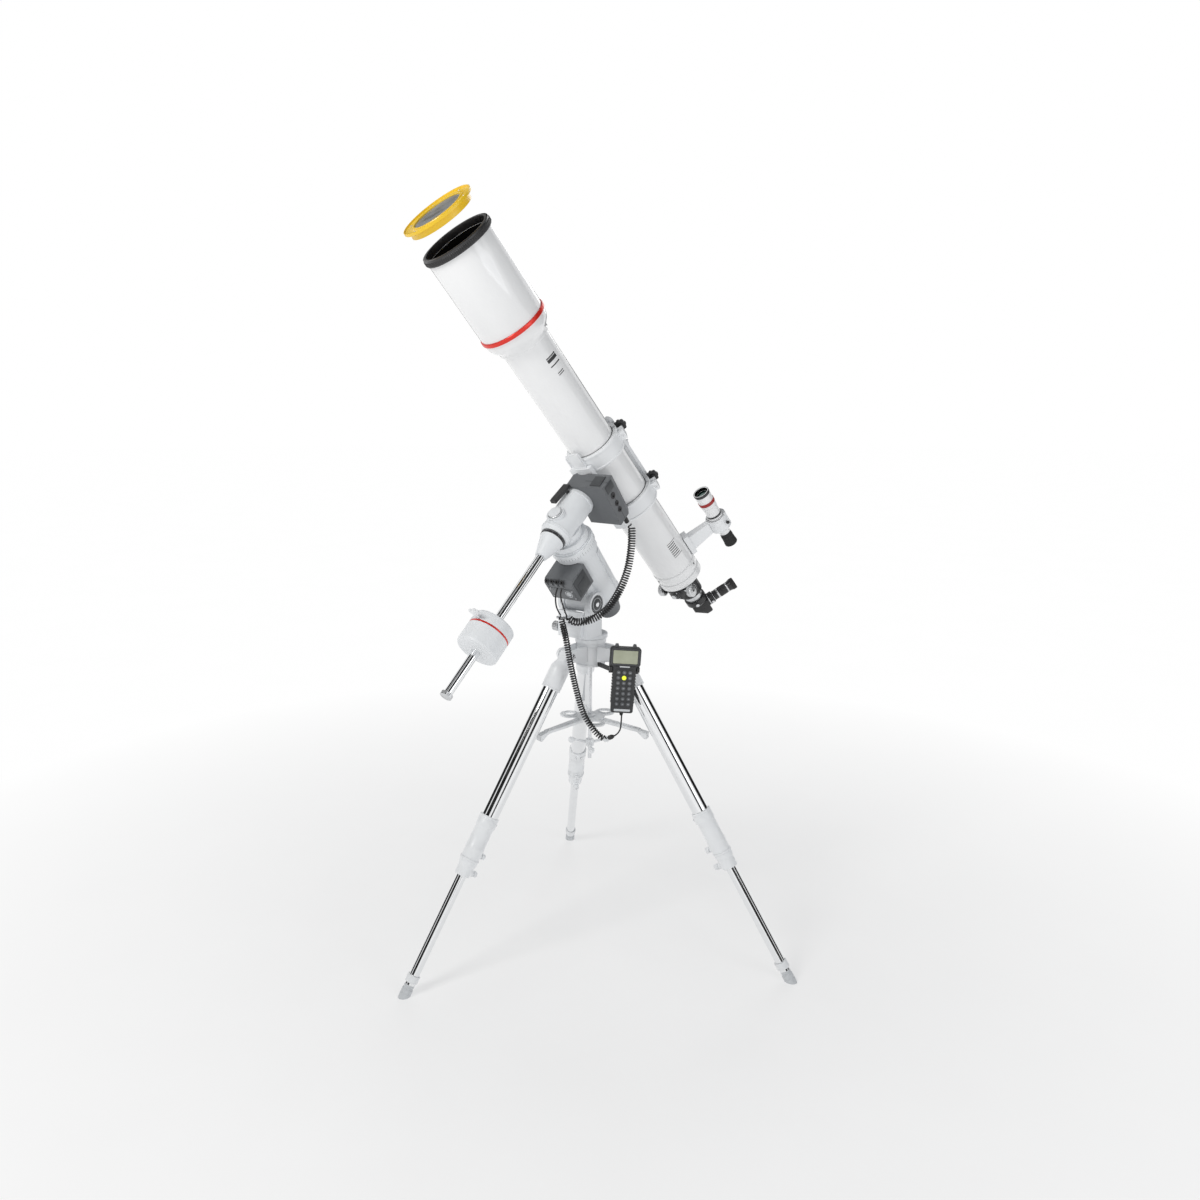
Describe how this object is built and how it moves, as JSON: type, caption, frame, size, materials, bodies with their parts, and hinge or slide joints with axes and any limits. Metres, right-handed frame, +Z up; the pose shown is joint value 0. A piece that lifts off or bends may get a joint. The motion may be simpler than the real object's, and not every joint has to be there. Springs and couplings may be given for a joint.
{
  "type": "refractor telescope",
  "caption": "Long refractor telescope on a motorised equatorial mount and folding tripod, with counterweight, finder, eyepiece, lifted solar filter and wired handset.",
  "frame": {"origin": "on the ground, under the middle of the whole telescope as it stands", "axes": "+Z up; -Y is the way the tube points on the ground; +X to the side where the handset hangs"},
  "size_m": [1.1317, 1.2092, 2.2261],
  "materials": {
    "white_gloss": "gloss white enamel",
    "white_satin": "satin white powder coat",
    "pale_grey": "satin pale grey powder coat",
    "dark_grey": "moulded dark grey",
    "black_satin": "satin black anodised",
    "black_plastic": "moulded black",
    "polished_steel": "polished",
    "machined": "machined",
    "red_anodised": "red anodised",
    "lens_glass": "coated glass",
    "filter_yellow": "yellow solar film",
    "handset_plastic": "moulded charcoal",
    "key_rubber": "soft keys",
    "cord_black": "charcoal cable sheath"
  },
  "bodies": {
    "tripod": {"head": "white_satin", "centre_rod": "polished_steel", "handset_bracket": "black_satin"},
    "leg_1": {"leg_1_upper": "white_satin"},
    "leg_2": {"leg_2_upper": "white_satin"},
    "leg_3": {"leg_3_upper": "white_satin"},
    "leg_1_foot": {"leg_1_lower": "polished_steel"},
    "leg_2_foot": {"leg_2_lower": "polished_steel"},
    "leg_3_foot": {"leg_3_lower": "polished_steel"},
    "leg_1_lock": {"leg_1_locks": "machined"},
    "leg_2_lock": {"leg_2_locks": "machined"},
    "leg_3_lock": {"leg_3_locks": "machined"},
    "spreader": {"tray": "white_satin"},
    "star_nut": {"star_knob": "white_satin"},
    "fork": {"mount_fork": "pale_grey", "pivot_caps": "dark_grey", "hand_coil": "cord_black"},
    "azimuth_screw": {"azimuth_knob": "machined"},
    "front_bolt": {"lat_bolt_front": "machined"},
    "rear_bolt": {"lat_bolt_rear": "machined"},
    "polar_body": {"ra_housing": "pale_grey", "ra_motor_case": "dark_grey", "rear_cover": "dark_grey", "dec_lead": "cord_black", "dec_coil": "cord_black", "hand_lead": "cord_black"},
    "ra_clamp": {"ra_lever": "black_plastic"},
    "dec_body": {"dec_housing": "pale_grey", "dec_motor_case": "dark_grey", "dec_plug": "cord_black", "cw_shaft": "polished_steel"},
    "scope_cap": {"polar_cap": "machined"},
    "dec_clamp": {"dec_lever": "black_plastic"},
    "setting_circle": {"dec_circle": "black_satin"},
    "weight": {"counterweight": "pale_grey"},
    "weight_screw": {"cw_screw": "machined"},
    "saddle_body": {"saddle": "pale_grey"},
    "saddle_screw": {"saddle_knob": "black_plastic"},
    "cradle": {"dovetail": "white_satin", "tube_rings": "white_satin", "carry_bar": "white_satin"},
    "ring_screw_front": {"ring_knob_front": "black_plastic"},
    "ring_screw_rear": {"ring_knob_rear": "black_plastic"},
    "telescope": {"main_tube": "white_gloss", "dew_shield": "white_gloss", "rim_ring": "black_satin", "accent_ring": "red_anodised", "objective_lens": "lens_glass", "focuser_body": "black_satin", "finder_bracket": "white_satin", "finder_tube": "white_gloss"},
    "focus_tube": {"drawtube": "polished_steel"},
    "focus_wheels": {"focus_knobs": "machined"},
    "star_diagonal": {"diagonal": "black_satin"},
    "ocular": {"eyepiece": "black_plastic"},
    "solar_filter": {"filter_cell": "machined", "filter_film": "filter_yellow"},
    "handset": {"handset_shell": "handset_plastic", "hand_tail": "cord_black"},
    "keypad": {"handset_keys": "key_rubber"}
  },
  "joints": [
    {"name": "leg_1_fold", "type": "hinge", "parent": "tripod", "child": "leg_1", "pos_m": [-0.11865, -0.03996, 0.936], "axis": [0.9595, -0.2817, 0], "range_deg": [0, 20]},
    {"name": "leg_1_extend", "type": "slide", "parent": "leg_1", "child": "leg_1_foot", "axis": [-0.1461, -0.4978, -0.8549], "range_m": [-0.3, 0.04]},
    {"name": "leg_1_clamp_screws", "type": "slide", "parent": "leg_1", "child": "leg_1_lock", "axis": [0.2408, 0.8203, -0.5188], "range_m": [0, 0.004]},
    {"name": "leg_2_fold", "type": "hinge", "parent": "tripod", "child": "leg_2", "pos_m": [-0.00584, 0.06762, 0.936], "axis": [-0.2358, 0.9718, 0], "range_deg": [0, 20]},
    {"name": "leg_2_extend", "type": "slide", "parent": "leg_2", "child": "leg_2_foot", "axis": [0.5042, 0.1223, -0.8549], "range_m": [-0.3, 0.04]},
    {"name": "leg_2_clamp_screws", "type": "slide", "parent": "leg_2", "child": "leg_2_lock", "axis": [-0.8308, -0.2016, -0.5188], "range_m": [0, 0.004]},
    {"name": "leg_3_fold", "type": "hinge", "parent": "tripod", "child": "leg_3", "pos_m": [-0.15541, 0.11153, 0.936], "axis": [-0.7237, -0.6901, 0], "range_deg": [0, 20]},
    {"name": "leg_3_extend", "type": "slide", "parent": "leg_3", "child": "leg_3_foot", "axis": [-0.358, 0.3754, -0.8549], "range_m": [-0.3, 0.04]},
    {"name": "leg_3_clamp_screws", "type": "slide", "parent": "leg_3", "child": "leg_3_lock", "axis": [0.59, -0.6187, -0.5188], "range_m": [0, 0.004]},
    {"name": "spreader_turn", "type": "hinge", "parent": "tripod", "child": "spreader", "pos_m": [-0.0933, 0.0464, 0.728], "axis": [0, 0, 1], "range_deg": [0, 50]},
    {"name": "star_nut_turn", "type": "hinge", "parent": "tripod", "child": "star_nut", "pos_m": [-0.0933, 0.0464, 0.64], "axis": [0, 0, 1], "continuous": true},
    {"name": "azimuth", "type": "hinge", "parent": "tripod", "child": "fork", "pos_m": [-0.0933, 0.0464, 0.98], "axis": [0, 0, 1], "range_deg": [-8, 8], "deforming": ["hand_coil"]},
    {"name": "azimuth_screw_turn", "type": "hinge", "parent": "fork", "child": "azimuth_screw", "pos_m": [-0.1333, -0.0156, 1.014], "axis": [1, 0, 0], "continuous": true},
    {"name": "front_bolt_turn", "type": "hinge", "parent": "fork", "child": "front_bolt", "pos_m": [-0.0933, -0.0536, 1.062], "axis": [0, 1, 0], "continuous": true},
    {"name": "rear_bolt_turn", "type": "hinge", "parent": "fork", "child": "rear_bolt", "pos_m": [-0.0933, 0.0464, 1.03], "axis": [0, 1, 0], "continuous": true},
    {"name": "latitude", "type": "hinge", "parent": "fork", "child": "polar_body", "pos_m": [-0.0933, -0.00363, 1.09827], "axis": [1, 0, 0], "range_deg": [-6, 14], "deforming": ["hand_lead"]},
    {"name": "ra_clamp_turn", "type": "hinge", "parent": "polar_body", "child": "ra_clamp", "pos_m": [-0.1433, -0.03325, 1.26269], "axis": [1, 0, 0], "range_deg": [-30, 30]},
    {"name": "right_ascension", "type": "hinge", "parent": "polar_body", "child": "dec_body", "pos_m": [-0.0933, -0.03132, 1.2604], "axis": [0, -0.6428, 0.766], "range_deg": [-90, 90], "deforming": ["dec_lead", "dec_coil"]},
    {"name": "scope_cap_pull", "type": "slide", "parent": "dec_body", "child": "scope_cap", "axis": [0, -0.6428, 0.766], "range_m": [0, 0.03]},
    {"name": "dec_clamp_turn", "type": "hinge", "parent": "dec_body", "child": "dec_clamp", "pos_m": [-0.1033, -0.0539, 1.42421], "axis": [0, -0.6428, 0.766], "range_deg": [-30, 30]},
    {"name": "setting_circle_turn", "type": "hinge", "parent": "dec_body", "child": "setting_circle", "pos_m": [-0.0933, -0.13773, 1.30165], "axis": [0, -0.766, -0.6428], "continuous": true},
    {"name": "weight_slide", "type": "slide", "parent": "dec_body", "child": "weight", "axis": [0, -0.766, -0.6428], "range_m": [-0.2, 0.13]},
    {"name": "weight_screw_turn", "type": "hinge", "parent": "weight", "child": "weight_screw", "pos_m": [-0.0933, -0.43722, 1.11562], "axis": [0, -0.6428, 0.766], "continuous": true},
    {"name": "declination", "type": "hinge", "parent": "dec_body", "child": "saddle_body", "pos_m": [-0.0933, -0.019, 1.40128], "axis": [0, -0.766, -0.6428], "continuous": true},
    {"name": "saddle_screw_turn", "type": "hinge", "parent": "saddle_body", "child": "saddle_screw", "pos_m": [-0.05379, 0.0375, 1.45685], "axis": [0.9877, -0.1006, 0.1198], "continuous": true},
    {"name": "dovetail_slide", "type": "slide", "parent": "saddle_body", "child": "cradle", "axis": [-0.1564, -0.6349, 0.7566], "range_m": [-0.05, 0.05]},
    {"name": "ring_screw_front_turn", "type": "hinge", "parent": "cradle", "child": "ring_screw_front", "pos_m": [-0.03245, 0.11083, 1.59681], "axis": [-0.6349, 0.6515, 0.4154], "continuous": true},
    {"name": "ring_screw_rear_turn", "type": "hinge", "parent": "cradle", "child": "ring_screw_rear", "pos_m": [-0.00023, 0.24161, 1.44095], "axis": [-0.6349, 0.6515, 0.4154], "continuous": true},
    {"name": "tube_turn", "type": "hinge", "parent": "cradle", "child": "telescope", "pos_m": [-0.0933, 0.10817, 1.50798], "axis": [-0.1564, -0.6349, 0.7566], "range_deg": [-90, 90]},
    {"name": "focus_travel", "type": "slide", "parent": "telescope", "child": "focus_tube", "axis": [0.1564, 0.6349, -0.7566], "range_m": [-0.022, 0.07]},
    {"name": "focus_wheel_turn", "type": "hinge", "parent": "telescope", "child": "focus_wheels", "pos_m": [-0.01164, 0.40433, 1.08346], "axis": [0.9877, -0.1006, 0.1198], "range_deg": [-90, 275]},
    {"name": "diagonal_turn", "type": "hinge", "parent": "focus_tube", "child": "star_diagonal", "pos_m": [0.00213, 0.49544, 1.04645], "axis": [-0.1564, -0.6349, 0.7566], "continuous": true},
    {"name": "eyepiece_pull", "type": "slide", "parent": "star_diagonal", "child": "ocular", "axis": [0.6441, 0.5152, 0.5655], "range_m": [0, 0.02]},
    {"name": "filter_fit", "type": "slide", "parent": "telescope", "child": "solar_filter", "axis": [-0.1564, -0.6349, 0.7566], "range_m": [-0.0726, 0]},
    {"name": "handset_lift", "type": "slide", "parent": "tripod", "child": "handset", "axis": [0.0401, 0.0336, 0.9986], "range_m": [0, 0.05], "deforming": ["hand_tail"]},
    {"name": "key_press", "type": "slide", "parent": "handset", "child": "keypad", "axis": [-0.6428, 0.766, 0], "range_m": [0, 0.0013], "stiffness_N_per_m": 300}
  ],
  "couplings": [
    {"joint": "leg_2_fold", "follows": "leg_1_fold", "ratio": 1},
    {"joint": "leg_3_fold", "follows": "leg_1_fold", "ratio": 1},
    {"joint": "spreader_turn", "follows": "leg_1_fold", "ratio": 2.5},
    {"joint": "focus_wheel_turn", "follows": "focus_travel", "rad_per_m": 66.667}
  ]
}
